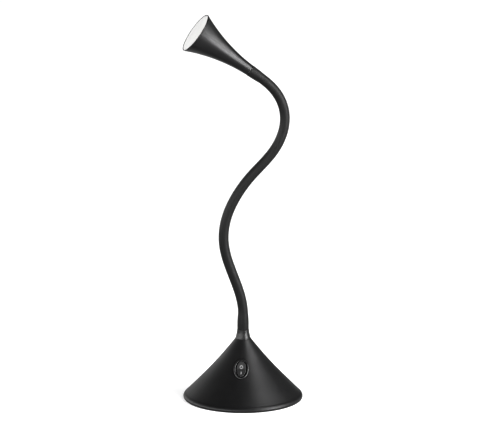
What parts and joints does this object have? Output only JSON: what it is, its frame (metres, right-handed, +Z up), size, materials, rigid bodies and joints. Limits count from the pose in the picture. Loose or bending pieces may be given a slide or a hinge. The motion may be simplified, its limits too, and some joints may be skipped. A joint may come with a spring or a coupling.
{
  "type": "gooseneck desk lamp",
  "caption": "Desk lamp with a weighted cone base, an oval rocker switch on its slope, a bendable gooseneck and a trumpet-shaped head with an opal front.",
  "frame": {"origin": "centre of the foot pad's underside, on the table, under the middle of the cone", "axes": "+Z up, the switch faces -Y, the head points towards -X and a little towards -Y"},
  "size_m": [0.1192, 0.1192, 0.3885],
  "materials": {
    "base_black": "satin, fine moulded grain",
    "collar_gloss": "semi gloss moulded",
    "plate_black": "moulded, matt",
    "pad_rubber": "matt soft rubber",
    "ballast_steel": "plain stamped steel",
    "zinc_steel": "bright zinc plate",
    "ferrule_steel": "turned steel",
    "switch_black": "satin moulded with light grey marks",
    "plunger_white": "plain moulded",
    "contact_brass": "stamped strip",
    "board_green": "glass fibre board, lacquered",
    "transformer_dark": "ferrite and tape",
    "capacitor_sleeve": "shrink sleeve",
    "terminal_green": "moulded",
    "wire_white": "insulated wire",
    "coil_steel": "wound steel",
    "neck_rubber": "smooth matt silicone sleeve",
    "head_black": "satin, slightly glossy",
    "rim_black": "semi gloss moulded",
    "opal_white": "opal diffuser, lit evenly",
    "reflector_white": "white moulded",
    "led_yellow": "phosphor under clear silicone",
    "led_board_white": "white lacquer on metal core",
    "sink_aluminium": "turned aluminium"
  },
  "bodies": {
    "root": {"base_shell": "base_black", "neck_collar": "collar_gloss", "base_plate": "plate_black", "ballast_weight": "ballast_steel", "foot_pad": "pad_rubber", "plate_screws": "zinc_steel", "neck_nut": "zinc_steel", "lock_washer": "zinc_steel", "lower_ferrule": "ferrule_steel", "switch_housing": "switch_black", "switch_terminals": "contact_brass", "driver_board": "board_green", "driver_transformer": "transformer_dark", "driver_capacitors": "capacitor_sleeve", "terminal_block": "terminal_green", "driver_screws": "zinc_steel", "cord_gland": "pad_rubber", "switch_leads": "wire_white", "neck_lead": "wire_white", "neck_core_lower": "coil_steel", "neck_sleeve_lower": "neck_rubber"},
    "rocker": {"switch_rocker": "switch_black", "rocker_plunger": "plunger_white"},
    "lever": {"contact_lever": "contact_brass"},
    "neck_link_01": {"neck_core_01": "coil_steel", "neck_sleeve_01": "neck_rubber"},
    "neck_link_02": {"neck_core_02": "coil_steel", "neck_sleeve_02": "neck_rubber"},
    "neck_link_03": {"neck_core_03": "coil_steel", "neck_sleeve_03": "neck_rubber"},
    "neck_link_04": {"neck_core_04": "coil_steel", "neck_sleeve_04": "neck_rubber"},
    "neck_link_05": {"neck_core_05": "coil_steel", "neck_sleeve_05": "neck_rubber"},
    "neck_link_06": {"neck_core_06": "coil_steel", "neck_sleeve_06": "neck_rubber"},
    "neck_link_07": {"neck_core_07": "coil_steel", "neck_sleeve_07": "neck_rubber"},
    "neck_link_08": {"neck_core_08": "coil_steel", "neck_sleeve_08": "neck_rubber"},
    "neck_link_09": {"neck_core_09": "coil_steel", "neck_sleeve_09": "neck_rubber"},
    "neck_link_10": {"neck_core_10": "coil_steel", "neck_sleeve_10": "neck_rubber"},
    "neck_link_11": {"neck_core_11": "coil_steel", "neck_sleeve_11": "neck_rubber"},
    "head": {"head_shell": "head_black", "trim_ring": "rim_black", "diffuser": "opal_white", "reflector": "reflector_white", "led_emitter": "led_yellow", "led_board": "led_board_white", "board_screws": "zinc_steel", "heat_sink": "sink_aluminium", "head_lead": "wire_white", "ferrule_nut": "zinc_steel", "upper_ferrule": "ferrule_steel", "neck_core_upper": "coil_steel", "neck_sleeve_upper": "neck_rubber"}
  },
  "joints": [
    {"name": "neck_bend_01", "type": "hinge", "parent": "root", "child": "neck_link_01", "pos_m": [-0.00091, -0.00021, 0.0962], "axis": [0.2207, -0.9753, 0], "range_deg": [-15, 25], "deforming": ["neck_sleeve_lower", "neck_sleeve_01"]},
    {"name": "neck_bend_02", "type": "hinge", "parent": "neck_link_01", "child": "neck_link_02", "pos_m": [-0.00689, -0.00156, 0.11781], "axis": [0.9148, 0.207, 0.3469], "range_deg": [-20, 20], "deforming": ["neck_sleeve_02"]},
    {"name": "neck_bend_03", "type": "hinge", "parent": "neck_link_02", "child": "neck_link_03", "pos_m": [-0.01441, -0.00326, 0.13895], "axis": [0.2207, -0.9753, 0], "range_deg": [-15, 25], "deforming": ["neck_sleeve_03"]},
    {"name": "neck_bend_04", "type": "hinge", "parent": "neck_link_03", "child": "neck_link_04", "pos_m": [-0.0189, -0.00428, 0.1609], "axis": [0.9736, 0.2203, 0.0593], "range_deg": [-20, 20], "deforming": ["neck_sleeve_04"]},
    {"name": "neck_bend_05", "type": "hinge", "parent": "neck_link_04", "child": "neck_link_05", "pos_m": [-0.0165, -0.00373, 0.18317], "axis": [0.2207, -0.9753, 0], "range_deg": [-20, 25], "deforming": ["neck_sleeve_05"]},
    {"name": "neck_bend_06", "type": "hinge", "parent": "neck_link_05", "child": "neck_link_06", "pos_m": [-0.00791, -0.00179, 0.2038], "axis": [0.8455, 0.1913, -0.4985], "range_deg": [-20, 20], "deforming": ["neck_sleeve_06"]},
    {"name": "neck_bend_07", "type": "hinge", "parent": "neck_link_06", "child": "neck_link_07", "pos_m": [0.00466, 0.00105, 0.22222], "axis": [0.2207, -0.9753, 0], "range_deg": [-25, 25], "deforming": ["neck_sleeve_07"]},
    {"name": "neck_bend_08", "type": "hinge", "parent": "neck_link_07", "child": "neck_link_08", "pos_m": [0.01967, 0.00445, 0.23861], "axis": [0.6969, 0.1577, -0.6997], "range_deg": [-20, 20], "deforming": ["neck_sleeve_08"]},
    {"name": "neck_bend_09", "type": "hinge", "parent": "neck_link_08", "child": "neck_link_09", "pos_m": [0.03322, 0.00752, 0.25624], "axis": [0.2207, -0.9753, 0], "range_deg": [-35, 20], "deforming": ["neck_sleeve_09"]},
    {"name": "neck_bend_10", "type": "hinge", "parent": "neck_link_09", "child": "neck_link_10", "pos_m": [0.04038, 0.00914, 0.27735], "axis": [0.9677, 0.219, -0.1253], "range_deg": [-20, 20], "deforming": ["neck_sleeve_10"]},
    {"name": "neck_bend_11", "type": "hinge", "parent": "neck_link_10", "child": "neck_link_11", "pos_m": [0.0376, 0.00851, 0.29943], "axis": [0.2207, -0.9753, 0], "range_deg": [-40, 10], "deforming": ["neck_sleeve_11"]},
    {"name": "neck_bend_12", "type": "hinge", "parent": "neck_link_11", "child": "head", "pos_m": [0.02516, 0.00569, 0.31775], "axis": [0.6701, 0.1516, 0.7266], "range_deg": [-20, 20], "deforming": ["neck_sleeve_upper"]},
    {"name": "rocker_tip", "type": "hinge", "parent": "root", "child": "rocker", "pos_m": [0, -0.02688, 0.03527], "axis": [-1, 0, 0], "range_deg": [0, 14]},
    {"name": "lever_tip", "type": "hinge", "parent": "root", "child": "lever", "pos_m": [0, -0.02231, 0.03123], "axis": [-1, 0, 0], "range_deg": [-12, 0]}
  ],
  "couplings": [
    {"joint": "lever_tip", "follows": "rocker_tip", "ratio": -0.85714}
  ]
}
